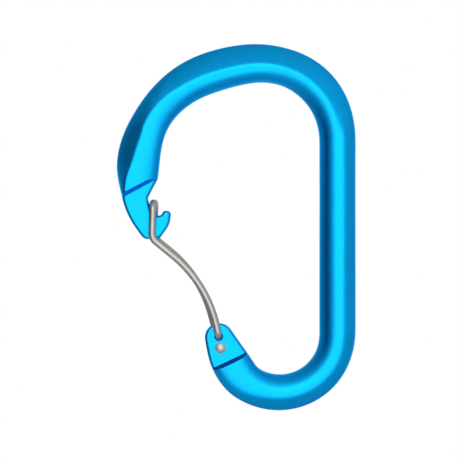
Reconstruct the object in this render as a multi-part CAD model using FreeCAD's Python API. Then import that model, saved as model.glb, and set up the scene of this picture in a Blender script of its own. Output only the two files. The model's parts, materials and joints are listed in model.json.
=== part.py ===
import FreeCAD, Part
import math
import os

# A wire-gate carabiner, upright as it hangs from an anchor by its top basket; millimetres.
# X runs from the gate to the spine, Y from the front face to the back, Z up.
# The origin is the anchor's seat: the inner side of the crown, at mid thickness.
# The frame is one forged bar. The gate is one wire, bent into a loop, whose two ends sit in
# two bores of the frame's hinge tab that don't share an axis.

V = FreeCAD.Vector

# Centre line of the bar, from the front hinge bore round the base, spine and crown to the
# nose. It turns left all the way. Radii and lengths in mm, sweeps in degrees.
TAB_RADIUS = 40.0
TAB_SWEEP = 17.4
HEEL_RADIUS = 11.3
HEEL_SWEEP = 24.0
BASE_RADIUS = 16.87
BASE_SWEEP = 60.0
CORNER_RADIUS = 16.63
CORNER_SWEEP = 49.0
FOOT_RADIUS = 23.0
FOOT_SWEEP = 11.0
SPINE_LENGTH = 54.6
HEAD_RADIUS = 26.0
HEAD_SWEEP = 16.0
CROWN_RADIUS = 21.0
CROWN_SWEEP = 56.0
BROW_RADIUS = 26.5
BROW_SWEEP = 25.5
FLAT_RADIUS = 52.5
FLAT_SWEEP = 14.5
SHOULDER_RADIUS = 29.5
SHOULDER_SWEEP = 40.0
ARM_RADIUS = 30.5
ARM_SWEEP = 28.0
NOSE_RADIUS = 30.5
NOSE_SWEEP = 16.0

# Bar: its depth front to back, and its width seen from the front
BAR_DEPTH = 10.0
TAB_WIDTH = 10.6
HEEL_WIDTH = 11.4
BASE_WIDTH = 10.6
CORNER_WIDTH = 10.25
SPINE_WIDTH = 10.5
CROWN_WIDTH = 11.15
BROW_WIDTH = 10.9
FLAT_WIDTH = 11.85
SHOULDER_WIDTH = 10.7
ARM_WIDTH = 12.35
NOSE_WIDTH = 10.6

# Flats of the nose and the tab, thinner than the bar so that the wire lies within its depth
NOSE_THICKNESS = 5.4
TAB_THICKNESS = 5.4
STEP_RUN = 1.2                  # how far the wall from flat to bar slopes back
FLAT_ROUNDING = 0.9             # rounding along the edges of both flats
NOSE_STEP_OUTER = 6.4           # where the nose flat starts, past the arm, on its outer side
NOSE_STEP_INNER = 2.35          # and on its inner side
TAB_STEP_OUTER = 7.2            # where the tab flat ends, past the hinge bore
TAB_STEP_INNER = 8.0
FLAT_ROOT = 1.6                 # length of each flat inside the bar
ROOT_TAPER = 0.15               # of that length's width, at each side

# Wire gate. The loop's end lies in the notch. Each leg has a knee below the nose and bows
# towards the spine between that knee and its own bore. The corner of a bow is placed by shares
# of the straight way from bore to knee, and its arc fills a share of the shorter run beside it.
WIRE_DIAMETER = 2.1
LEG_GAP = 0.15                  # between a leg and the flat it runs along
LOOP_BEND_RADIUS = 2.0
KNEE_DROP = 10.2                # from the loop's end down to the knee
KNEE_SET_BACK = 0.3             # the knee lies this much further out than the loop's end
KNEE_RADIUS = 3.0
REAR_LEG_SHIFT = 0.5            # of the rear leg against the front one, towards the spine
REAR_KNEE_RISE = 0.2
FRONT_BOW_PLACE = 0.424         # along the way
FRONT_BOW_DEPTH = 0.171         # across it
FRONT_BOW_FILL = 0.811
REAR_BOW_PLACE = 0.555
REAR_BOW_DEPTH = 0.155
REAR_BOW_FILL = 0.638
PIN_BEND_RADIUS = 1.5
SPRUNG_LENGTH = 10.0            # of the rear leg that flexes as the gate opens

# Hinge bores. The front one lies in the tab's round end, and the wire's end is peened flush in
# a countersink at the back, where the rear leg passes. The rear one carries the rear leg,
# whose end is peened into a dome on the front face.
TAB_END_RADIUS = 4.1
TAB_END_DROP = 0.3              # of the round end's centre below the front bore
TAB_TAPER_OUTER = 9.0           # of the tab's flanks against its axis, degrees
TAB_TAPER_INNER = 16.0
REAR_BORE_DROP = 3.28           # from the front bore, along the tab
REAR_BORE_OFFSET = 0.55         # and towards its outer side
BORE_CLEARANCE = 0.05           # round the wire and its peened ends
BORE_CHAMFER = 0.2
COUNTERSINK_DEPTH = 0.45
DOME_DIAMETER = 3.1
DOME_HEIGHT = 0.6
DOME_RIM = 0.15

# Nose, measured down and in (towards the spine) from the end of the arm
LOOP_DOWN = 9.0
LOOP_IN = 4.4
SEAT_GAP = 0.08                 # between the loop's end and the notch's wall
NOTCH_LEAN = 16.0               # of that wall, degrees
NECK_RISE = 1.4                 # from the loop's centre up to the narrowest of the neck
NECK_RADIUS = 1.2
NOTCH_DEPTH = 3.85              # from the loop's centre down to the notch's floor
NOTCH_WIDTH = 2.4
NOTCH_RADIUS = 1.3
HOOK_HEIGHT = 1.4
HOOK_WIDTH = 2.15
HOOK_SIDE_RUN = 0.8             # how far the hook's side in the notch leans, over its height
HOOK_TOP_RISE = 0.35            # of its top and of the notch's floor, over their width
HOOK_ROOT_RADIUS = 0.9
HOOK_TOP_RADIUS = 0.8
HOOK_POINT_RADIUS = 1.0
BELLY_DROP = 6.2                # from the loop's centre down to the corner of the hook's belly
BELLY_SET_BACK = 0.5            # of that corner from the hook's point
BELLY_RADIUS = 6.0
CHIN_DOWN = 19.25
CHIN_IN = 6.3
CHIN_RADIUS = 1.2
TIP_DOWN = 19.5
TIP_IN = 1.8
TIP_RADIUS = 2.4
TIP_LEAN = 36.0                 # of the outer edge where it runs into the tip, degrees
TIP_EDGE = 4.0                  # straight length of that edge

CREST_RUN = 1.1                 # over which the crest turns into the outer slope
SECTION_SPACING = 3.0           # of the bar's sections, along its centre line
BAR_OVERRUN = 1.0               # of the bar past the nose's step, before it is cut back
PROBE = 0.05                    # distance over which the outline's direction is measured
FLATNESS = 1e-6                 # an edge this thin lies in one face of a plate

LEGS = [
    (TAB_RADIUS, TAB_SWEEP),
    (HEEL_RADIUS, HEEL_SWEEP),
    (BASE_RADIUS, BASE_SWEEP),
    (CORNER_RADIUS, CORNER_SWEEP),
    (FOOT_RADIUS, FOOT_SWEEP),
    (None, SPINE_LENGTH),
    (HEAD_RADIUS, HEAD_SWEEP),
    (CROWN_RADIUS, CROWN_SWEEP),
    (BROW_RADIUS, BROW_SWEEP),
    (FLAT_RADIUS, FLAT_SWEEP),
    (SHOULDER_RADIUS, SHOULDER_SWEEP),
    (ARM_RADIUS, ARM_SWEEP),
    (NOSE_RADIUS, NOSE_SWEEP),
]
SPINE_LEG = LEGS.index((None, SPINE_LENGTH))
NOSE_LEG = len(LEGS) - 1

# Width of the bar along its centre line. A place is counted in legs: 2.5 is halfway along the
# third.
WIDTHS = [
    (0.45, TAB_WIDTH),
    (0.85, HEEL_WIDTH),
    (2.10, BASE_WIDTH),
    (3.80, CORNER_WIDTH),
    (5.00, SPINE_WIDTH),
    (6.00, SPINE_WIDTH),
    (7.50, CROWN_WIDTH),
    (8.20, BROW_WIDTH),
    (9.75, FLAT_WIDTH),
    (10.88, SHOULDER_WIDTH),
    (11.80, ARM_WIDTH),
    (12.70, NOSE_WIDTH),
]

# Shape of its section. The crest is the highest line of each face, given as a share of the
# width from the outer edge. Fullness is 0.55 for a round quarter: more makes it squarer. The
# two sides of the face have one value each, and the edges another. A facet of 1 makes the
# slope from the crest to the outer edge straight down to mid thickness, and the crest itself
# is rounded over its run.
#    place  crest  outer  inner  edge   facet
FORMS = [
    (0.30,  0.50,  0.98,  0.98,  0.78,  0.00),
    (1.50,  0.50,  0.95,  0.92,  0.72,  0.00),
    (2.50,  0.50,  0.60,  0.58,  0.55,  0.00),
    (6.00,  0.50,  0.55,  0.55,  0.55,  0.00),
    (7.00,  0.51,  0.62,  0.55,  0.55,  0.35),
    (8.00,  0.555, 0.75,  0.55,  0.55,  0.68),
    (10.20, 0.555, 0.75,  0.58,  0.56,  0.68),
    (10.70, 0.46,  0.65,  0.80,  0.64,  0.50),
    (11.00, 0.42,  0.70,  0.94,  0.78,  0.70),
    (11.35, 0.46,  0.75,  1.00,  0.86,  0.80),
    (11.75, 0.41,  0.75,  1.00,  0.88,  0.80),
    (12.00, 0.31,  0.75,  1.00,  0.88,  0.75),
    (12.30, 0.20,  0.75,  1.00,  0.86,  0.60),
    (12.70, 0.12,  0.75,  1.00,  0.82,  0.40),
]


def direction(angle):
    """Unit vector in the XZ plane, at an angle in degrees from +X towards +Z."""
    return V(math.cos(math.radians(angle)), 0, math.sin(math.radians(angle)))


def leg_length(leg):
    radius, extent = leg
    if radius is None:
        return extent
    return radius * math.radians(extent)


def place_length(place):
    """Distance along the centre line of a place counted in legs."""
    whole = min(int(place), len(LEGS) - 1)
    passed = sum(leg_length(leg) for leg in LEGS[:whole])
    return passed + (place - whole) * leg_length(LEGS[whole])


def walk(distance):
    """Point and heading on the centre line, before it is moved to the origin."""
    point = V(0, 0, 0)
    heading = 90.0 - sum(sweep for radius, sweep in LEGS[:SPINE_LEG])
    for leg in LEGS:
        radius, extent = leg
        step = min(distance, leg_length(leg))
        if radius is None:
            point = point + direction(heading) * step
        else:
            turn = math.degrees(step / radius)
            centre = point + direction(heading + 90) * radius
            heading = heading + turn
            point = centre + direction(heading - 90) * radius
        distance = distance - step
        if distance <= 0:
            break
    return point, heading


def schedule(rows, distance):
    """Values of a table of places at a distance, on a smooth curve through its rows."""
    knots = [(place_length(row[0]), row[1:]) for row in rows]
    distance = max(knots[0][0], min(knots[-1][0], distance))
    index = 0
    while distance > knots[index + 1][0]:
        index = index + 1
    before = knots[max(index - 1, 0)]
    start = knots[index]
    end = knots[index + 1]
    after = knots[min(index + 2, len(knots) - 1)]
    span = end[0] - start[0]
    t = (distance - start[0]) / span
    values = []
    for b, s, e, a in zip(before[1], start[1], end[1], after[1]):
        slope_in = (e - b) / (end[0] - before[0]) * span
        slope_out = (a - s) / (after[0] - start[0]) * span
        rise = (3 - 2 * t) * t * t
        values.append(s + (e - s) * rise + slope_in * t * (1 - t) ** 2 - slope_out * t * t * (1 - t))
    return values


def level_distance():
    """Distance at which the bar runs level, over the crown."""
    distance = 0.0
    for leg in LEGS:
        heading = walk(distance)[1]
        radius, extent = leg
        if radius is not None and heading + extent > 180.0:
            return distance + radius * math.radians(180.0 - heading)
        distance = distance + leg_length(leg)


# The crown's inner side, where the bar runs level, is moved to the origin
CROWN_DISTANCE = level_distance()
CROWN_POINT = walk(CROWN_DISTANCE)[0] - V(0, 0, schedule(WIDTHS, CROWN_DISTANCE)[0] / 2)


def centre(distance):
    """Point and heading on the bar's centre line, in the part's frame."""
    point, heading = walk(distance)
    return point - CROWN_POINT, heading


def side(distance, sign):
    """Point on the bar's outline: its outer side for a sign of 1, its inner side for -1."""
    point, heading = centre(distance)
    reach = schedule(WIDTHS, distance)[0] / 2
    return point + direction(heading - 90) * reach * sign


def bezier(*points):
    curve = Part.BezierCurve()
    curve.setPoles(list(points))
    return curve.toShape()


def section(distance):
    """Six Bezier pieces, head to tail, that outline the bar's section at a distance."""
    point, heading = centre(distance)
    width = schedule(WIDTHS, distance)[0]
    crest, outer, inner, edge, facet = schedule(FORMS, distance)
    out = direction(heading - 90)
    top = point + out * width * (0.5 - crest)
    depth = BAR_DEPTH / 2
    outer_reach = width * crest
    inner_reach = width * (1 - crest)
    fall = facet * depth / outer_reach
    run = min(CREST_RUN, outer_reach / 2)
    handle = (outer_reach - run) * outer

    def spot(reach, height, face):
        return top + out * reach + V(0, face * height, 0)

    def ridge(face):
        """Poles from the crest out to where the outer slope begins, as a parabola."""
        return [
            spot(0, depth, face),
            spot(run / 3, depth, face),
            spot(run * 2 / 3, depth - fall * run / 6, face),
            spot(run, depth - fall * run / 2, face),
        ]

    def outer_side(face):
        """Poles from there to the outer edge, at mid thickness."""
        return [
            spot(run, depth - fall * run / 2, face),
            spot(run + handle, depth - fall * (run / 2 + handle), face),
            spot(outer_reach, depth * min(edge, 1 - facet), face),
            spot(outer_reach, 0, face),
        ]

    def inner_side(face):
        """Poles from the crest to the inner edge."""
        return [
            spot(0, depth, face),
            spot(-inner_reach * inner, depth, face),
            spot(-inner_reach, depth * edge, face),
            spot(-inner_reach, 0, face),
        ]

    front = [ridge(-1), outer_side(-1)]
    back = [outer_side(1)[::-1], ridge(1)[::-1]]
    return front + back + [inner_side(1), inner_side(-1)[::-1]]


def strip(rows, distances):
    """Smooth face through the same piece of every section."""
    lines = []
    for column in zip(*rows):
        line = Part.BSplineCurve()
        line.interpolate(Points=list(column), Parameters=distances)
        lines.append(line)
    surface = Part.BSplineSurface()
    surface.buildFromPolesMultsKnots(
        [line.getPoles() for line in lines],
        [4, 4], lines[0].getMultiplicities(), [0, 1], lines[0].getKnots(),
        False, False, 3, lines[0].Degree)
    return surface.toShape()


def forged_bar(start, end):
    """Bar between two distances, skinned over its sections and closed at both ends."""
    count = int((end - start) / SECTION_SPACING) + 1
    distances = [start + (end - start) * k / count for k in range(count + 1)]
    sections = [section(distance) for distance in distances]
    faces = [strip(rows, distances) for rows in zip(*sections)]
    for pieces in (sections[0], sections[-1]):
        faces.append(Part.Face(Part.Wire([bezier(*poles) for poles in pieces])))
    shell = Part.Shell(faces)
    shell.sewShape()
    bar = Part.Solid(shell)
    if bar.Volume < 0:
        bar.reverse()
    return bar


def rounded(corners):
    """Edges through corners, each (point, radius), with an arc at every corner that has one."""
    edges = []
    last = corners[0][0]
    for index in range(1, len(corners) - 1):
        before = corners[index - 1][0]
        corner, radius = corners[index]
        after = corners[index + 1][0]
        back = (before - corner).normalize()
        ahead = (after - corner).normalize()
        half = back.getAngle(ahead) / 2
        reach = radius / math.tan(half)
        start = corner + back * reach
        end = corner + ahead * reach
        middle = corner + (back + ahead).normalize() * (radius / math.sin(half) - radius)
        edges.append(Part.LineSegment(last, start).toShape())
        edges.append(Part.Arc(start, middle, end).toShape())
        last = end
    edges.append(Part.LineSegment(last, corners[-1][0]).toShape())
    return edges


def easing(start, start_direction, end, end_direction):
    """Smooth edge that leaves one point and reaches another in given directions."""
    handle = (end - start).Length / 3
    return bezier(start, start + start_direction * handle, end - end_direction * handle, end)


def plate(edges, thickness):
    """Flat of the frame: an outline in the XZ plane made solid, its face edges rounded."""
    slab = Part.Face(Part.Wire(edges)).extrude(V(0, thickness, 0))
    slab.translate(V(0, -thickness / 2, 0))
    rims = [edge for edge in slab.Edges if edge.BoundBox.YLength < FLATNESS]
    return slab.makeFillet(FLAT_ROUNDING, rims)


def step_tool(outer, inner, away, thickness):
    """Tool that cuts the bar back to a flat, with walls that slope up from the step's line."""
    across = (inner - outer).normalize()
    beyond = away - across * away.dot(across)
    beyond.normalize()
    reach = BAR_DEPTH
    far = 4 * BAR_DEPTH
    run = STEP_RUN * (reach - thickness / 2) / (BAR_DEPTH / 2 - thickness / 2)
    origin = outer - across * reach
    corners = [
        origin + V(0, -thickness / 2, 0),
        origin + V(0, thickness / 2, 0),
        origin - beyond * run + V(0, reach, 0),
        origin + beyond * far + V(0, reach, 0),
        origin + beyond * far - V(0, reach, 0),
        origin - beyond * run - V(0, reach, 0),
    ]
    outline = Part.makePolygon(corners + corners[:1])
    return Part.Face(outline).extrude(across * ((inner - outer).Length + 2 * reach))


def forward(distance, sign):
    """Direction of the bar's outline at a distance, towards the nose."""
    return (side(distance + PROBE, sign) - side(distance - PROBE, sign)).normalize()


def root(first, last, inwards):
    """Two points of a flat's root, inside the bar, behind the ends of its step."""
    inset = (last - first) * ROOT_TAPER
    return first + inset + inwards * FLAT_ROOT, last - inset + inwards * FLAT_ROOT


# Places that the frame and the gate share
NOSE_PLACE = place_length(NOSE_LEG)
NOSE_ORIGIN, NOSE_HEADING = centre(NOSE_PLACE)
NOSE_DOWN = direction(NOSE_HEADING)
NOSE_IN = direction(NOSE_HEADING + 90)
FRONT_BORE, TAB_HEADING = centre(0.0)
TAB_UP = TAB_HEADING + 180
REAR_BORE = (FRONT_BORE + direction(TAB_HEADING) * REAR_BORE_DROP
             + direction(TAB_HEADING - 90) * REAR_BORE_OFFSET)
TAB_FACE = TAB_THICKNESS / 2
WIRE_RADIUS = WIRE_DIAMETER / 2
BORE_RADIUS = WIRE_RADIUS + BORE_CLEARANCE
LEG_Y = max(NOSE_THICKNESS, TAB_THICKNESS) / 2 + LEG_GAP + WIRE_RADIUS


def nose_point(down, inward):
    return NOSE_ORIGIN + NOSE_DOWN * down + NOSE_IN * inward


def bow_corner(bore, knee, place, depth):
    """Corner of a leg's bow, which stands off the way from its bore to its knee."""
    way = knee - bore
    return bore + way * place + way.cross(V(0, -1, 0)) * depth


LOOP = nose_point(LOOP_DOWN, LOOP_IN)
KNEE = nose_point(LOOP_DOWN + KNEE_DROP, LOOP_IN - KNEE_SET_BACK)
REAR_KNEE = KNEE + NOSE_IN * REAR_LEG_SHIFT - NOSE_DOWN * REAR_KNEE_RISE
FRONT_BOW = bow_corner(FRONT_BORE, KNEE, FRONT_BOW_PLACE, FRONT_BOW_DEPTH)
REAR_BOW = bow_corner(REAR_BORE, REAR_KNEE, REAR_BOW_PLACE, REAR_BOW_DEPTH)


def notch_wall(down):
    """Point on the notch's outer wall, which the loop's end rests against."""
    lean = math.radians(NOTCH_LEAN)
    reach = WIRE_RADIUS + SEAT_GAP
    seat_down = LOOP_DOWN + reach * math.sin(lean)
    seat_in = LOOP_IN - reach * math.cos(lean)
    return nose_point(down, seat_in + (down - seat_down) * math.tan(lean))


def nose_flat():
    outer_place = NOSE_PLACE + NOSE_STEP_OUTER
    inner_place = NOSE_PLACE + NOSE_STEP_INNER
    outer = side(outer_place, 1)
    inner = side(inner_place, -1)
    floor = notch_wall(LOOP_DOWN + NOTCH_DEPTH)
    floor_end = floor + NOSE_IN * NOTCH_WIDTH - NOSE_DOWN * HOOK_TOP_RISE
    hook_top = floor_end + NOSE_IN * HOOK_SIDE_RUN - NOSE_DOWN * HOOK_HEIGHT
    hook_point = hook_top + NOSE_IN * HOOK_WIDTH + NOSE_DOWN * HOOK_TOP_RISE
    belly_drop = LOOP_DOWN + BELLY_DROP - NOSE_DOWN.dot(hook_point - NOSE_ORIGIN)
    belly = hook_point + NOSE_DOWN * belly_drop - NOSE_IN * BELLY_SET_BACK
    tip = nose_point(TIP_DOWN, TIP_IN)
    tip_run = direction(NOSE_HEADING + TIP_LEAN)
    edge_end = tip - tip_run * TIP_EDGE
    inner_root, outer_root = root(inner, outer, forward(NOSE_PLACE, 1) * -1)
    edges = rounded([
        (inner, 0),
        (notch_wall(LOOP_DOWN - NECK_RISE), NECK_RADIUS),
        (floor, NOTCH_RADIUS),
        (floor_end, HOOK_ROOT_RADIUS),
        (hook_top, HOOK_TOP_RADIUS),
        (hook_point, HOOK_POINT_RADIUS),
        (belly, BELLY_RADIUS),
        (nose_point(CHIN_DOWN, CHIN_IN), CHIN_RADIUS),
        (tip, TIP_RADIUS),
        (edge_end, 0),
    ])
    edges.append(easing(edge_end, tip_run * -1, outer, forward(outer_place, 1) * -1))
    edges.append(Part.LineSegment(outer, outer_root).toShape())
    edges.append(Part.LineSegment(outer_root, inner_root).toShape())
    edges.append(Part.LineSegment(inner_root, inner).toShape())
    return plate(edges, NOSE_THICKNESS), step_tool(outer, inner, NOSE_DOWN, NOSE_THICKNESS)


def tab_flat():
    outer = side(TAB_STEP_OUTER, 1)
    inner = side(TAB_STEP_INNER, -1)
    outer_angle = TAB_UP - TAB_TAPER_OUTER
    inner_angle = TAB_UP + TAB_TAPER_INNER
    middle = FRONT_BORE + direction(TAB_HEADING) * TAB_END_DROP
    outer_end = middle + direction(outer_angle + 90) * TAB_END_RADIUS
    inner_end = middle + direction(inner_angle - 90) * TAB_END_RADIUS
    crown = middle + direction((outer_angle + inner_angle) / 2) * TAB_END_RADIUS
    inner_root, outer_root = root(inner, outer, forward(TAB_STEP_INNER, 1))
    edges = [
        easing(outer, forward(TAB_STEP_OUTER, 1) * -1, outer_end, direction(outer_angle)),
        Part.Arc(outer_end, crown, inner_end).toShape(),
        easing(inner_end, direction(inner_angle) * -1, inner, forward(TAB_STEP_INNER, -1)),
        Part.LineSegment(inner, inner_root).toShape(),
        Part.LineSegment(inner_root, outer_root).toShape(),
        Part.LineSegment(outer_root, outer).toShape(),
    ]
    return plate(edges, TAB_THICKNESS), step_tool(outer, inner, direction(TAB_UP), TAB_THICKNESS)


def bore_tool(bore, entry):
    """Bore through the tab, chamfered on the face that the wire enters."""
    tool = Part.makeCylinder(BORE_RADIUS, TAB_THICKNESS, bore - V(0, TAB_FACE, 0), V(0, 1, 0))
    mouth = Part.makeCone(BORE_RADIUS + BORE_CHAMFER, BORE_RADIUS, BORE_CHAMFER,
                          bore + V(0, entry * TAB_FACE, 0), V(0, -entry, 0))
    return tool.fuse(mouth)


def countersink(clearance):
    """Cone of the front bore at the back face, or of the wire's end peened into it."""
    radius = WIRE_RADIUS + clearance
    return Part.makeCone(radius, radius + COUNTERSINK_DEPTH, COUNTERSINK_DEPTH,
                         FRONT_BORE + V(0, TAB_FACE - COUNTERSINK_DEPTH, 0), V(0, 1, 0))


def frame():
    bar = forged_bar(TAB_STEP_OUTER - FLAT_ROOT, NOSE_PLACE + NOSE_STEP_OUTER + BAR_OVERRUN)
    nose, nose_tool = nose_flat()
    tab, tab_tool = tab_flat()
    bar = bar.cut(nose_tool).cut(tab_tool)
    body = bar.fuse(nose).fuse(tab)
    bores = bore_tool(FRONT_BORE, -1).fuse(countersink(BORE_CLEARANCE))
    body = body.cut(bores.fuse(bore_tool(REAR_BORE, 1)))
    return body


def dome():
    """Peened head of the rear leg, proud of the tab's front face."""
    radius = DOME_DIAMETER / 2
    rise = DOME_HEIGHT - DOME_RIM
    sphere_radius = (radius * radius + rise * rise) / (2 * rise)
    base = REAR_BORE - V(0, TAB_FACE + BORE_CLEARANCE, 0)
    blank = Part.makeCylinder(radius, DOME_HEIGHT, base, V(0, -1, 0))
    return blank.common(Part.makeSphere(sphere_radius, base + V(0, sphere_radius - DOME_HEIGHT, 0)))


def arc_radius(before, corner, after, fill):
    """Radius of the arc that fills a share of the shorter run beside a corner."""
    back = before - corner
    ahead = after - corner
    return min(back.Length, ahead.Length) * fill * math.tan(back.getAngle(ahead) / 2)


def wire():
    """The whole gate wire, from its flush end round the loop to its domed end."""
    front = V(0, -LEG_Y, 0)
    rear = V(0, LEG_Y, 0)
    shift = NOSE_IN * REAR_LEG_SHIFT
    front_radius = arc_radius(FRONT_BORE, FRONT_BOW, KNEE, FRONT_BOW_FILL)
    rear_radius = arc_radius(REAR_BORE, REAR_BOW, REAR_KNEE, REAR_BOW_FILL)
    route = rounded([
        (FRONT_BORE + V(0, TAB_FACE, 0), 0),
        (FRONT_BORE + front, PIN_BEND_RADIUS),
        (FRONT_BOW + front, front_radius),
        (KNEE + front, KNEE_RADIUS),
        (LOOP + front, LOOP_BEND_RADIUS),
        (LOOP + shift + rear, LOOP_BEND_RADIUS),
        (REAR_KNEE + rear, KNEE_RADIUS),
        (REAR_BOW + rear, rear_radius),
        (REAR_BORE + rear, PIN_BEND_RADIUS),
        (REAR_BORE - V(0, TAB_FACE + BORE_CLEARANCE + DOME_RIM, 0), 0),
    ])
    ring = Part.Wire(Part.Circle(FRONT_BORE + V(0, TAB_FACE, 0), V(0, -1, 0), WIRE_RADIUS).toShape())
    rod = Part.Wire(route).makePipeShell([ring], True, False)
    return rod.fuse(countersink(0.0)).fuse(dome())


def sprung_zone():
    """Space that holds the foot of the rear leg: its flexing length, its pin and its dome."""
    up = (REAR_BOW - REAR_BORE).normalize()
    across = up.cross(V(0, 1, 0)) * WIRE_DIAMETER
    heel = REAR_BORE - up * WIRE_DIAMETER
    head = REAR_BORE + up * SPRUNG_LENGTH
    corners = [heel - across, heel + across, head + across, head - across]
    face = Part.Face(Part.makePolygon(corners + corners[:1]))
    face.translate(V(0, TAB_FACE + LEG_GAP / 2, 0))
    foot = face.extrude(V(0, 2 * WIRE_DIAMETER, 0))
    pin = Part.makeCylinder(BORE_RADIUS + BORE_CHAMFER, TAB_THICKNESS + LEG_GAP,
                            REAR_BORE + V(0, TAB_FACE + LEG_GAP, 0), V(0, -1, 0))
    head_room = Part.makeCylinder(DOME_DIAMETER / 2 + BORE_CLEARANCE, WIRE_DIAMETER,
                                  REAR_BORE - V(0, TAB_FACE, 0), V(0, -1, 0))
    return foot.fuse(pin).fuse(head_room)


def main():
    os.makedirs("parts", exist_ok=True)
    gate = wire()
    zone = sprung_zone()
    nodes = {
        "frame": frame(),
        "gate_wire": gate.cut(zone),
        "gate_wire_sprung_end": gate.common(zone),
    }
    for name, shape in nodes.items():
        shape.exportStep("parts/" + name + ".step")
        box = shape.BoundBox
        print(name, len(shape.Solids), shape.isValid(), round(shape.Volume, 1),
              [round(v, 2) for v in (box.XMin, box.XMax, box.YMin, box.YMax, box.ZMin, box.ZMax)])


main()
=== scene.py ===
import bpy
import bmesh
import json
import math
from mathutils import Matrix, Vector


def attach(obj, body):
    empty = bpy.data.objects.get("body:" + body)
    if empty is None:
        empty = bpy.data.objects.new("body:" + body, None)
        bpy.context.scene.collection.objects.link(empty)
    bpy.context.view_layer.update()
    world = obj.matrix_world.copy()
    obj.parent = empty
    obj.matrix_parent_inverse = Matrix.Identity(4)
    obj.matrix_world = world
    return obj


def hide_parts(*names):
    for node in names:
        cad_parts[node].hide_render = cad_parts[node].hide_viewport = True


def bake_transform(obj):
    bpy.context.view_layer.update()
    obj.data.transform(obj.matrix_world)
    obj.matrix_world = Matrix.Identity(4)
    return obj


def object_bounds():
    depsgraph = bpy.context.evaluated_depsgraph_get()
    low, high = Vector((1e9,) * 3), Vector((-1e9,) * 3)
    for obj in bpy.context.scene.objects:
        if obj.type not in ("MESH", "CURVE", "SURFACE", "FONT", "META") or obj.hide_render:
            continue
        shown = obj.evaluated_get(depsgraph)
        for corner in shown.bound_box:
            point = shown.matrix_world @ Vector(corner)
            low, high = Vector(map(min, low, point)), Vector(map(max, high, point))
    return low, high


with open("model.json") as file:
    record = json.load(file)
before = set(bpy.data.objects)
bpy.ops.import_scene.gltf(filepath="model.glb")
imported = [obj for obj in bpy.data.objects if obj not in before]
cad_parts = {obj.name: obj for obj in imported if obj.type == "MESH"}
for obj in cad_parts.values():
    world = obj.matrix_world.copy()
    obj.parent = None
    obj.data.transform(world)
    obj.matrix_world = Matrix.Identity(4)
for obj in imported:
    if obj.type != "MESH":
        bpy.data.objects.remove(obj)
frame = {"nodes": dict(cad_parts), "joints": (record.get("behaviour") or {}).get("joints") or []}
cad_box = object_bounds()


# --- Forged frame ----------------------------------------------------------------------------
# One bar of aluminium alloy, bent and forged hot, with a flat nose and a flat hinge tab, tumbled
# until its edges are soft, and dyed blue by anodising. The sloping walls of the steps carry painted
# shade: the tab's wall is painted much darker and made rougher, the nose's only a little.
FLAT_LEVEL = 0.0027             # of the nose's and the tab's faces, from mid thickness
LEVEL_SLACK = 2e-6              # how far a point on such a face may stray from that level
NEARLY_SQUARE = 0.87            # cosine of the largest lean that counts as part of such a face
WELD = 1e-6                     # points closer than this are one
CREASE = math.radians(38)       # the smallest turn between faces that reads as an edge
SAME_PLANE = math.radians(0.6)  # the largest turn inside one flat wall
EDGE_CURVATURE = (500.0, 1300.0)  # per metre, from where an edge starts to wear to full wear
BLUE = (0.001, 0.49, 0.97)
TONE_SPREAD = 0.035             # share by which the blue drifts lighter and darker
SHADED_WALL_BLUE = (0.001, 0.11, 0.17)  # painted shade on a step's wall
WALL_SHADE_COVER = 0.95               # how much of that painted shade the foot of a step's wall takes
RUBBED_BLUE = (0.03, 0.55, 1.0)
RUBBED_COVER = 0.5              # how much of that colour the sharpest edge takes
EDGE_BLUE = (0.05, 0.7, 1.0)    # of the reflection that skims the surface
FILM_SHEEN = (0.0, 0.02, 1.0)   # of the dyed film, which scatters a little light by itself
FILM = {"Coat Weight": 0.1, "Coat Roughness": 0.3, "Sheen Weight": 0.2, "Sheen Roughness": 1.0}
ROUGHNESS = 0.28                # of the smoothest unworn film
DRIFT_ROUGHER = 0.05            # what the broad drift adds to that, and the grain as well
RUBBED_SMOOTHER = 0.04
STEP_ROUGHER = 0.15
DRIFT_SCALE = 260.0             # lumps to a metre, of the dye's broad drift
PEEL_SCALE = 1100.0             # of the soft ripple that tumbling leaves
GRAIN_SCALE = 5200.0            # of the etched grain under the film
RUB_SCALE = 700.0               # of the patches where an edge is rubbed
PEEL_SHARE = 0.6                # of the relief, the rest is grain
RELIEF = 0.00002                # height of that relief
RELIEF_STRENGTH = 0.35
WALL_TOP = 0.005                # level at which a step's wall meets the bar
NOSE_LEVEL = -0.05              # the nose lies above this height, the tab below it
NOSE_WALL_SHADE = 0.05               # painted shade, with added roughness, on the nose's wall, and on the tab's
TAB_WALL_SHADE = 1.0
TOP_SHADE_SHARE = 0.8                 # of that painted shade, left at the top of a wall
NO_AREA_ANGLE = 9               # stands for the turn to a face without area, larger than any
SMALLEST_SPAN = 1e-6            # of two faces beside an edge, against division by nothing


def level_flats(mesh):
    """Square the shading of the flats up to their rims, so that no sliver there catches light."""
    normals = [corner.vector.copy() for corner in mesh.corner_normals]
    for face in mesh.polygons:
        if abs(face.normal.y) > NEARLY_SQUARE:
            for index in face.loop_indices:
                level = mesh.vertices[mesh.loops[index].vertex_index].co.y
                if abs(abs(level) - FLAT_LEVEL) < LEVEL_SLACK:
                    normals[index] = Vector((0, math.copysign(1, level), 0))
    mesh.normals_split_custom_set(normals)


def welded_copy(node, name):
    """The solid's own surface as a new piece, smooth apart from its real edges."""
    mesh = frame["nodes"][node].data.copy()
    mesh.name = name
    work = bmesh.new()
    work.from_mesh(mesh)
    bmesh.ops.remove_doubles(work, verts=work.verts, dist=WELD)
    for face in work.faces:
        face.smooth = True
    for edge in work.edges:
        edge.smooth = len(edge.link_faces) == 2 and edge.calc_face_angle() < CREASE
    work.to_mesh(mesh)
    work.free()
    mesh.materials.clear()
    level_flats(mesh)
    piece = bpy.data.objects.new(name, mesh)
    bpy.context.scene.collection.objects.link(piece)
    return piece


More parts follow.
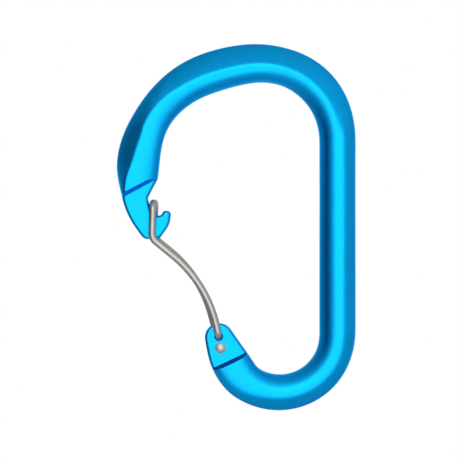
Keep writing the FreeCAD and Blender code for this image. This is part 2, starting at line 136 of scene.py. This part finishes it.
def on_flat(item):
    """Whether all of an edge or a face lies in a flat of the nose or the tab."""
    return all(abs(abs(v.co.y) - FLAT_LEVEL) < LEVEL_SLACK for v in item.verts)


def step_walls(work):
    """The faces of the sloping walls that rise from the flats to the bar."""
    found = set()
    for edge in work.edges:
        if on_flat(edge):
            for face in edge.link_faces:
                apex = max(abs(v.co.y) for v in face.verts)
                if not on_flat(face) and apex > FLAT_LEVEL + LEVEL_SLACK:
                    found.add(face)
    waiting = list(found)
    while waiting:
        face = waiting.pop()
        for edge in face.edges:
            for other in edge.link_faces:
                if other not in found and face.normal.angle(other.normal, NO_AREA_ANGLE) < SAME_PLANE:
                    found.add(other)
                    waiting.append(other)
    return found


def edge_wear(vert):
    """How sharply the surface turns at a point, from 0 on broad faces to 1 on tight edges."""
    if any(on_flat(face) for face in vert.link_faces):
        return 0.0
    turns = []
    for edge in vert.link_edges:
        if len(edge.link_faces) == 2:
            spans = [face.calc_area() / edge.calc_length() for face in edge.link_faces]
            turns.append(abs(edge.calc_face_angle_signed(0.0)) / max(sum(spans), SMALLEST_SPAN))
    low, high = EDGE_CURVATURE
    return min(max((max(turns, default=0.0) - low) / (high - low), 0.0), 1.0)


def paint_frame(mesh):
    """Attributes for the finish: painted shade and roughness on the step walls, and how exposed to
    rubbing.
    """
    work = bmesh.new()
    work.from_mesh(mesh)
    walls = step_walls(work)

    def shade(vert):
        """Painted shade, and added roughness, on a step's wall: full at its foot, less towards its
        top.
        """
        climb = (abs(vert.co.y) - FLAT_LEVEL) / (WALL_TOP - FLAT_LEVEL)
        foot = NOSE_WALL_SHADE if vert.co.z > NOSE_LEVEL else TAB_WALL_SHADE
        return foot * (1 - (1 - TOP_SHADE_SHARE) * climb)

    # Painted shade: the step walls get a value that darkens their colour and roughens them.
    wall_shade_and_roughness = [0.0] * len(mesh.loops)
    wear = [0.0] * len(mesh.loops)
    work.verts.index_update()
    by_vert = [edge_wear(vert) for vert in work.verts]
    index = 0
    for face in work.faces:
        for vert in face.verts:
            wear[index] = by_vert[vert.index]
            if face in walls:
                wall_shade_and_roughness[index] = shade(vert)
            index += 1
    work.free()
    for name, values in (("step_shade_and_roughness", wall_shade_and_roughness), ("edge_wear", wear)):
        mesh.attributes.new(name, "FLOAT", "CORNER").data.foreach_set("value", values)


class Signal:
    """The output of a shader node. Python's operators on it add Math nodes."""

    def __init__(self, tree, socket):
        self.tree = tree
        self.socket = socket

    @classmethod
    def node(cls, tree, kind, settings, inputs, output=0):
        """Any node: its type, its settings, and the values or links of its inputs."""
        made = tree.nodes.new(kind)
        for name, value in settings.items():
            setattr(made, name, value)
        for key, value in inputs.items():
            if isinstance(value, Signal):
                tree.links.new(value.socket, made.inputs[key])
            else:
                made.inputs[key].default_value = value
        return cls(tree, made.outputs[output])

    def math(self, operation, first, second=0.0):
        return self.node(self.tree, "ShaderNodeMath", {"operation": operation},
                         {0: first, 1: second})

    def __add__(self, other):
        return self.math("ADD", self, other)

    def __sub__(self, other):
        return self.math("SUBTRACT", self, other)

    def __rsub__(self, other):
        return self.math("SUBTRACT", other, self)

    def __mul__(self, other):
        return self.math("MULTIPLY", self, other)

    def exp(self):
        return self.math("EXPONENT", self)

    __radd__ = __add__
    __rmul__ = __mul__

    def ramp(self, start, end):
        """0 below start and 1 above end, with a smooth rise between them."""
        return self.node(self.tree, "ShaderNodeMapRange", {"interpolation_type": "SMOOTHSTEP"},
                         {"Value": self, "From Min": start, "From Max": end})

    def blend(self, first, second):
        """A colour between two others, by this value."""
        return self.node(self.tree, "ShaderNodeMix", {"data_type": "RGBA"},
                         {0: self, 6: first, 7: second}, 2)


def rgba(colour):
    return (*colour, 1.0)


def metal(name):
    """A metallic material, its tree and its shader."""
    material = bpy.data.materials.new(name)
    material.use_nodes = True
    shader = material.node_tree.nodes["Principled BSDF"]
    shader.inputs["Metallic"].default_value = 1.0
    return material, material.node_tree, shader


def noise(tree, place, per_metre, detail=2.0, roughness=0.5):
    """Soft noise from 0 to 1 with so many lumps to a metre."""
    return Signal.node(tree, "ShaderNodeTexNoise", {},
                       {"Vector": place, "Scale": per_metre, "Detail": detail,
                        "Roughness": roughness})


def anodised_blue():
    material, tree, shader = metal("anodised_blue")
    place = Signal.node(tree, "ShaderNodeTexCoord", {}, {}, "Object")
    wall_shade_and_roughness = Signal.node(tree, "ShaderNodeAttribute", {"attribute_name": "step_shade_and_roughness"}, {}, "Fac")
    wear = Signal.node(tree, "ShaderNodeAttribute", {"attribute_name": "edge_wear"}, {}, "Fac")
    drift = noise(tree, place, DRIFT_SCALE, 3.0)
    peel = noise(tree, place, PEEL_SCALE)
    grain = noise(tree, place, GRAIN_SCALE, 3.0, 0.7)
    rubbed = wear * noise(tree, place, RUB_SCALE, 4.0).ramp(0.35, 0.75) * RUBBED_COVER
    darker = rgba([c * (1 - TONE_SPREAD) for c in BLUE])
    lighter = rgba([c * (1 + TONE_SPREAD) for c in BLUE])
    colour = drift.ramp(0.2, 0.8).blend(darker, lighter)
    colour = rubbed.blend(colour, rgba(RUBBED_BLUE))
    # Painted shade: the step walls' colour is darkened towards a deep blue, most at their foot.
    colour = (wall_shade_and_roughness * WALL_SHADE_COVER).blend(colour, rgba(SHADED_WALL_BLUE))
    rough = ROUGHNESS + DRIFT_ROUGHER * drift + DRIFT_ROUGHER * grain
    rough = rough - RUBBED_SMOOTHER * rubbed + STEP_ROUGHER * wall_shade_and_roughness
    height = PEEL_SHARE * peel + (1 - PEEL_SHARE) * grain
    bump = Signal.node(tree, "ShaderNodeBump", {},
                       {"Height": height, "Strength": RELIEF_STRENGTH, "Distance": RELIEF})
    for name, value in FILM.items():
        shader.inputs[name].default_value = value
    shader.inputs["Specular Tint"].default_value = rgba(EDGE_BLUE)
    shader.inputs["Sheen Tint"].default_value = rgba(FILM_SHEEN)
    tree.links.new(colour.socket, shader.inputs["Base Color"])
    tree.links.new(rough.socket, shader.inputs["Roughness"])
    tree.links.new(bump.socket, shader.inputs["Normal"])
    return material


forged_frame = welded_copy("frame", "forged_frame")
paint_frame(forged_frame.data)
forged_frame.data.materials.append(anodised_blue())
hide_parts("frame")
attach(forged_frame, "frame")


# --- Gate wire -------------------------------------------------------------------------------
# One length of stainless spring wire, bent into a loop on a jig. The front leg turns into the
# upper bore of the tab. The rear leg runs behind the tab, and its foot, which flexes as the
# gate opens, turns into the lower bore.
WIRE_RADIUS = 0.00105
LEG_LEVEL = 0.0039              # of both legs' centre lines, from mid thickness
FRONT_PIN_END = 0.0025          # levels at which the wire's two ends stop
REAR_PIN_END = -0.0029
PIN_BEND = 0.0015               # radii of the bends
LOOP_BEND = 0.002
KNEE_BEND = 0.003
FRONT_BORE = Vector(frame["joints"][0]["pos_m"])
TAB_HEADING = math.radians(-71.4)  # of the tab's axis, from level
REAR_BORE_DROP = 0.00328        # from the front bore, along the tab
REAR_BORE_OFFSET = 0.00055      # and towards its outer side
LOOP_PLACE = Vector((-0.018989, 0, 0.038546))  # of the loop's end, from the front bore
KNEE_DROP = 0.0102              # from the loop's end down to the knee
KNEE_SET_BACK = 0.0003          # the knee lies this much further out than the loop's end
REAR_LEG_SHIFT = 0.0005         # of the rear leg against the front one, towards the spine
REAR_KNEE_RISE = 0.0002
# Each bow's corner, along and across the way from bore to knee as shares of it, and how much
# of the shorter run beside the corner its arc fills
FRONT_BOW = (0.424, 0.171, 0.811)
REAR_BOW = (0.555, 0.155, 0.638)
FOOT_LENGTH = 0.0185            # of the rear leg with its pin, that bends as the gate opens
BEND_STEPS = 40
WIRE_SIDES = 32
BRIGHT_STEEL = (0.57, 0.58, 0.53)
DULL_STEEL = (0.52, 0.53, 0.48)
EDGE_STEEL = (0.55, 0.55, 0.50)  # of the reflection that skims the surface
LINE_SCALE = 5200.0             # lumps to a metre across the wire, of its drawn lines
LINE_STRETCH = 0.04             # how fast a line changes along the wire, against across it
MOTTLE_SCALE = 900.0
WIRE_ROUGHNESS = 0.36
LINE_ROUGHER = 0.06
LINE_RELIEF = 0.000006
LINE_RELIEF_STRENGTH = 0.2


def bow(bore, knee, level, shares):
    """The corner of the route that bows a leg towards the spine."""
    along, across, fill = shares
    way = knee - bore
    place = bore + way * along + way.cross(Vector((0, -1, 0))) * across
    back = bore - place
    ahead = knee - place
    bend = min(back.length, ahead.length) * fill * math.tan(back.angle(ahead) / 2)
    return (place.x, level, place.z, bend)


tab_way = Vector((math.cos(TAB_HEADING), 0, math.sin(TAB_HEADING)))
tab_outward = Vector((math.sin(TAB_HEADING), 0, -math.cos(TAB_HEADING)))
REAR_BORE = FRONT_BORE + tab_way * REAR_BORE_DROP + tab_outward * REAR_BORE_OFFSET
loop_end = FRONT_BORE + LOOP_PLACE
knee = loop_end - Vector((KNEE_SET_BACK, 0, KNEE_DROP))
rear_knee = knee + Vector((REAR_LEG_SHIFT, 0, REAR_KNEE_RISE))
# Corners of the route: x, y and z, and the radius of the bend there
ROUTE = [
    (FRONT_BORE.x, FRONT_PIN_END, FRONT_BORE.z, 0),
    (FRONT_BORE.x, -LEG_LEVEL, FRONT_BORE.z, PIN_BEND),
    bow(FRONT_BORE, knee, -LEG_LEVEL, FRONT_BOW),
    (knee.x, -LEG_LEVEL, knee.z, KNEE_BEND),
    (loop_end.x, -LEG_LEVEL, loop_end.z, LOOP_BEND),
    (loop_end.x + REAR_LEG_SHIFT, LEG_LEVEL, loop_end.z, LOOP_BEND),
    (rear_knee.x, LEG_LEVEL, rear_knee.z, KNEE_BEND),
    bow(REAR_BORE, rear_knee, LEG_LEVEL, REAR_BOW),
    (REAR_BORE.x, LEG_LEVEL, REAR_BORE.z, PIN_BEND),
    (REAR_BORE.x, REAR_PIN_END, REAR_BORE.z, 0),
]


def satin_steel():
    """Drawn wire: fine lines along its length, and a slight mottle."""
    material, tree, shader = metal("satin_steel")
    across = Signal.node(tree, "ShaderNodeAttribute", {"attribute_name": "across"}, {}, "Vector")
    along = Signal.node(tree, "ShaderNodeAttribute", {"attribute_name": "along"}, {}, "Fac")
    drawn = Signal.node(tree, "ShaderNodeCombineXYZ", {}, {"Z": along * LINE_STRETCH})
    place = Signal.node(tree, "ShaderNodeVectorMath", {"operation": "ADD"}, {0: across, 1: drawn})
    lines = noise(tree, place, LINE_SCALE, 3.0, 0.6)
    spot = Signal.node(tree, "ShaderNodeTexCoord", {}, {}, "Object")
    mottle = noise(tree, spot, MOTTLE_SCALE, 3.0)
    tone = 0.5 * lines + 0.5 * mottle
    colour = tone.ramp(0.3, 0.7).blend(rgba(DULL_STEEL), rgba(BRIGHT_STEEL))
    rough = WIRE_ROUGHNESS + LINE_ROUGHER * lines
    bump = Signal.node(tree, "ShaderNodeBump", {},
                       {"Height": lines, "Strength": LINE_RELIEF_STRENGTH, "Distance": LINE_RELIEF})
    shader.inputs["Specular Tint"].default_value = rgba(EDGE_STEEL)
    tree.links.new(colour.socket, shader.inputs["Base Color"])
    tree.links.new(rough.socket, shader.inputs["Roughness"])
    tree.links.new(bump.socket, shader.inputs["Normal"])
    return material


def wire_tree(material):
    """Nodes that draw a wire along a route of corners, between two lengths."""
    tree = bpy.data.node_groups.new("bent_wire", "GeometryNodeTree")
    inputs = {"Geometry": "Geometry", "Radius": "Float", "From": "Float", "To": "Float"}
    for name, kind in inputs.items():
        tree.interface.new_socket(name, in_out="INPUT", socket_type="NodeSocket" + kind)
    tree.interface.new_socket("Geometry", in_out="OUTPUT", socket_type="NodeSocketGeometry")

    def add(kind, settings, inputs):
        made = tree.nodes.new("GeometryNode" + kind)
        for name, value in settings.items():
            setattr(made, name, value)
        for key, value in inputs.items():
            if isinstance(value, bpy.types.NodeSocket):
                tree.links.new(value, made.inputs[key])
            else:
                made.inputs[key].default_value = value
        return made

    start = tree.nodes.new("NodeGroupInput").outputs
    bend = add("InputNamedAttribute", {"data_type": "FLOAT"}, {"Name": "bend"})
    line = add("MeshToCurve", {}, {"Mesh": start["Geometry"]})
    route = add("FilletCurve", {"mode": "POLY"},
                {"Curve": line.outputs[0], "Count": BEND_STEPS, "Radius": bend.outputs[0],
                 "Limit Radius": True})
    length = add("SplineParameter", {}, {})
    marked = add("StoreNamedAttribute", {"data_type": "FLOAT", "domain": "POINT"},
                 {"Geometry": route.outputs[0], "Name": "along", "Value": length.outputs["Length"]})
    cut = add("TrimCurve", {"mode": "LENGTH"},
              {"Curve": marked.outputs[0], 4: start["From"], 5: start["To"]})
    ring = add("CurvePrimitiveCircle", {"mode": "RADIUS"},
               {"Resolution": WIRE_SIDES, "Radius": start["Radius"]})
    spot = add("InputPosition", {}, {})
    profile = add("StoreNamedAttribute", {"data_type": "FLOAT_VECTOR", "domain": "POINT"},
                  {"Geometry": ring.outputs[0], "Name": "across", "Value": spot.outputs[0]})
    tube = add("CurveToMesh", {},
               {"Curve": cut.outputs[0], "Profile Curve": profile.outputs[0], "Fill Caps": True})
    whole = add("RealizeInstances", {}, {"Geometry": tube.outputs[0]})
    dressed = add("SetMaterial", {}, {"Geometry": whole.outputs[0], "Material": material})
    end = tree.nodes.new("NodeGroupOutput")
    tree.links.new(dressed.outputs[0], end.inputs[0])
    return tree


def wire_piece(name, tree, start, end):
    """A stretch of the wire between two lengths along the route, as a plain mesh."""
    line = bpy.data.meshes.new(name + "_route")
    links = [(k, k + 1) for k in range(len(ROUTE) - 1)]
    line.from_pydata([corner[:3] for corner in ROUTE], links, [])
    line.attributes.new("bend", "FLOAT", "POINT").data.foreach_set("value", [c[3] for c in ROUTE])
    maker = bpy.data.objects.new(name + "_route", line)
    bpy.context.scene.collection.objects.link(maker)
    modifier = maker.modifiers.new("bent_wire", "NODES")
    modifier.node_group = tree
    values = {"Radius": WIRE_RADIUS, "From": start, "To": end}
    for item in tree.interface.items_tree:
        if item.in_out == "INPUT" and item.name in values:
            modifier[item.identifier] = values[item.name]
    depsgraph = bpy.context.evaluated_depsgraph_get()
    mesh = bpy.data.meshes.new_from_object(maker.evaluated_get(depsgraph), depsgraph=depsgraph)
    mesh.name = name
    bpy.data.objects.remove(maker)
    for face in mesh.polygons:
        face.use_smooth = len(face.vertices) == 4
    piece = bpy.data.objects.new(name, mesh)
    bpy.context.scene.collection.objects.link(piece)
    return piece


def route_length():
    """Length of the wire's centre line with its bends."""
    corners = [Vector(corner[:3]) for corner in ROUTE]
    bends = [corner[3] for corner in ROUTE]
    total = sum((b - a).length for a, b in zip(corners, corners[1:]))
    for before, corner, after, bend in zip(corners, corners[1:], corners[2:], bends[1:]):
        turn = (corner - before).angle(after - corner)
        total -= bend * (2 * math.tan(turn / 2) - turn)
    return total


steel = satin_steel()
bent_wire = wire_tree(steel)
whole_length = route_length()
gate_loop = wire_piece("gate_loop", bent_wire, 0.0, whole_length - FOOT_LENGTH)
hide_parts("gate_wire")
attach(gate_loop, "gate")

rear_foot = wire_piece("rear_leg_foot", bent_wire, whole_length - FOOT_LENGTH, whole_length)
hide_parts("gate_wire_sprung_end")
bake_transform(rear_foot)


# --- Peened ends -----------------------------------------------------------------------------
# Both ends of the wire are hammered over in their bores. The front leg's end is struck flush in
# a countersink at the tab's back, and the rear leg's into a low dome on its front face.
DOME_RADIUS = 0.00155
DOME_RIM = 0.00015              # straight stretch below the dome
DOME_HEIGHT = 0.0006            # with that rim
DOME_BASE = -0.00275            # just clear of the tab's front face
DOME_STEPS = 16
FLUSH_RADIUS = 0.0015           # of the struck end, at the mouth of its countersink
FLUSH_DEPTH = 0.00045
FLUSH_CROWN = 0.00006           # rise of its middle above the flat
FLUSH_STEPS = 6
TURNED_SIDES = 64


def turned(name, outline, middle):
    """A round piece about a Y axis, from the (radius, y) points of half its section."""
    points = [Vector((middle.x, outline[0][1], middle.z))]
    for radius, level in outline[1:-1]:
        for k in range(TURNED_SIDES):
            angle = 2 * math.pi * k / TURNED_SIDES
            points.append(Vector((middle.x + radius * math.cos(angle), level,
                                  middle.z + radius * math.sin(angle))))
    points.append(Vector((middle.x, outline[-1][1], middle.z)))
    faces = []
    rings = len(outline) - 2
    for k in range(TURNED_SIDES):
        after = (k + 1) % TURNED_SIDES
        faces.append((0, 1 + k, 1 + after))
        for ring in range(rings - 1):
            low = 1 + ring * TURNED_SIDES
            faces.append((low + k, low + TURNED_SIDES + k, low + TURNED_SIDES + after, low + after))
        last = 1 + (rings - 1) * TURNED_SIDES
        faces.append((last + k, len(points) - 1, last + after))
    mesh = bpy.data.meshes.new(name)
    mesh.from_pydata(points, [], faces)
    work = bmesh.new()
    work.from_mesh(mesh)
    bmesh.ops.recalc_face_normals(work, faces=work.faces)
    for face in work.faces:
        face.smooth = True
    for edge in work.edges:
        edge.smooth = edge.calc_face_angle() < CREASE
    work.to_mesh(mesh)
    work.free()
    mesh.materials.append(steel)
    piece = bpy.data.objects.new(name, mesh)
    bpy.context.scene.collection.objects.link(piece)
    return piece


def arc(count, start, end):
    """Evenly spaced values from start to end."""
    return [start + (end - start) * k / count for k in range(count + 1)]


rise = DOME_HEIGHT - DOME_RIM
sphere = (DOME_RADIUS ** 2 + rise ** 2) / (2 * rise)
brim = math.asin(DOME_RADIUS / sphere)
cap = [(sphere * math.sin(a), DOME_BASE - DOME_HEIGHT + sphere * (1 - math.cos(a)))
       for a in arc(DOME_STEPS, brim, 0.0)]
domed_end = turned("domed_end", [(0, DOME_BASE), (DOME_RADIUS, DOME_BASE), *cap], REAR_BORE)
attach(domed_end, "frame")

flush_foot = FLAT_LEVEL - FLUSH_DEPTH
crown = [(FLUSH_RADIUS * part, FLAT_LEVEL + FLUSH_CROWN * (1 - part ** 2))
         for part in arc(FLUSH_STEPS, 1.0, 0.0)]
flush_end = turned("flush_end", [(0, flush_foot), (WIRE_RADIUS, flush_foot), *crown], FRONT_BORE)
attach(flush_end, "gate")


# --- Studio ----------------------------------------------------------------------------------
# A round tent of pale cloth: two soft windows in front, one above the other, a black card to
# the left, a lighter wall to the right, and a white backdrop behind, which metal reflects too.
# The floor is a pale round table, just below the part.
MIDDLE = Vector((-0.0082, 0.0, -0.0426))
CAMERA_DISTANCE = 2.4
VIEW_WIDTH = 0.13303            # at the part, from edge to edge of the picture
SENSOR_WIDTH = 36.0
TENT_LEVEL = 0.284              # brightness of the bare cloth
DARKEST = 0.03                  # and of the black card
# Each soft light: strength, degrees to the right of the camera, degrees up, and sharpness
SOFT_LIGHTS = [
    (1.86, -3.4, 16.3, 13.4),
    (1.40, 3.9, -28.0, 12.0),
    (0.31, 71.5, 34.8, 1.2),
    (-0.33, -71.9, 0.7, 8.5),
    (0.70, 180.0, 0.0, 8.0),
]
BACKDROP_EDGE = (0.6, 1.0)      # cosines from the way straight back, where the white sets in
FLOOR_RADIUS = 0.10
FLOOR_SIDES = 96
FLOOR_DROP = 0.020              # below the part's lowest point
FLOOR_COLOUR = (0.85, 0.85, 0.85)
FLOOR_ROUGHNESS = 0.9
FLOOR_LIFT = 0.62               # glow that only the camera and such reflections see
FLOOR_BACK = (0.05, 0.10)       # where the part of the floor behind the part sets in

camera = bpy.data.cameras.new("camera")
camera.sensor_width = SENSOR_WIDTH
camera.lens = SENSOR_WIDTH * CAMERA_DISTANCE / VIEW_WIDTH
camera_holder = bpy.data.objects.new("camera", camera)
camera_holder.location = MIDDLE - Vector((0, CAMERA_DISTANCE, 0))
camera_holder.rotation_euler = (math.pi / 2, 0, 0)
bpy.context.scene.collection.objects.link(camera_holder)
bpy.context.scene.camera = camera_holder


def direction(right, up):
    """Unit vector towards a part of the tent, in degrees from the way to the camera."""
    right, up = math.radians(right), math.radians(up)
    return (math.sin(right) * math.cos(up), -math.cos(right) * math.cos(up), math.sin(up))


world = bpy.data.worlds.new("tent")
world.use_nodes = True
bpy.context.scene.world = world
tree = world.node_tree
aim = Signal.node(tree, "ShaderNodeTexCoord", {}, {}, "Generated")


def soft_spot(towards, sharpness):
    """1 in one direction of the tent, falling off smoothly round it."""
    cosine = Signal.node(tree, "ShaderNodeVectorMath", {"operation": "DOT_PRODUCT"},
                         {0: aim, 1: towards}, "Value")
    return ((cosine - 1.0) * sharpness).exp()


def seen_by(tree, behind):
    """1 for the camera, and for reflections and refractions of what lies behind the part."""
    seen = Signal.node(tree, "ShaderNodeLightPath", {}, {}, "Is Camera Ray")
    path = seen.socket.node.outputs
    mirrored = Signal(tree, path["Is Glossy Ray"]) + Signal(tree, path["Is Transmission Ray"])
    return seen + mirrored * behind


level = TENT_LEVEL
for strength, right, up, sharpness in SOFT_LIGHTS:
    level = level + soft_spot(direction(right, up), sharpness) * strength
cloth = tree.nodes["Background"]
cloth.inputs["Color"].default_value = (1, 1, 1, 1)
tree.links.new(level.math("MAXIMUM", level, DARKEST).socket, cloth.inputs["Strength"])
white = Signal.node(tree, "ShaderNodeBackground", {}, {"Color": (1, 1, 1, 1)})
back = Signal.node(tree, "ShaderNodeSeparateXYZ", {}, {"Vector": aim}, "Y")
seen = seen_by(tree, back.ramp(*BACKDROP_EDGE))
tent = Signal.node(tree, "ShaderNodeMixShader", {},
                   {0: seen, 1: Signal(tree, cloth.outputs[0]), 2: white})
tree.links.new(tent.socket, tree.nodes["World Output"].inputs[0])

mesh = bpy.data.meshes.new("floor")
height = cad_box[0][2] - FLOOR_DROP
turns = [math.tau * k / FLOOR_SIDES for k in range(FLOOR_SIDES)]
rim = [(FLOOR_RADIUS * math.cos(turn), FLOOR_RADIUS * math.sin(turn), height) for turn in turns]
mesh.from_pydata(rim, [], [tuple(range(FLOOR_SIDES))])
floor = bpy.data.objects.new("floor", mesh)
bpy.context.scene.collection.objects.link(floor)
pale = bpy.data.materials.new("pale_floor")
pale.use_nodes = True
tree = pale.node_tree
paint = tree.nodes["Principled BSDF"]
paint.inputs["Base Color"].default_value = rgba(FLOOR_COLOUR)
paint.inputs["Roughness"].default_value = FLOOR_ROUGHNESS
spot = Signal.node(tree, "ShaderNodeTexCoord", {}, {}, "Object")
back = Signal.node(tree, "ShaderNodeSeparateXYZ", {}, {"Vector": spot}, "Y").ramp(*FLOOR_BACK)
lift = Signal.node(tree, "ShaderNodeEmission", {}, {"Strength": seen_by(tree, back) * FLOOR_LIFT})
both = Signal.node(tree, "ShaderNodeAddShader", {},
                   {0: Signal(tree, paint.outputs[0]), 1: lift})
tree.links.new(both.socket, tree.nodes["Material Output"].inputs[0])
mesh.materials.append(pale)

bpy.context.scene.view_settings.view_transform = "Standard"
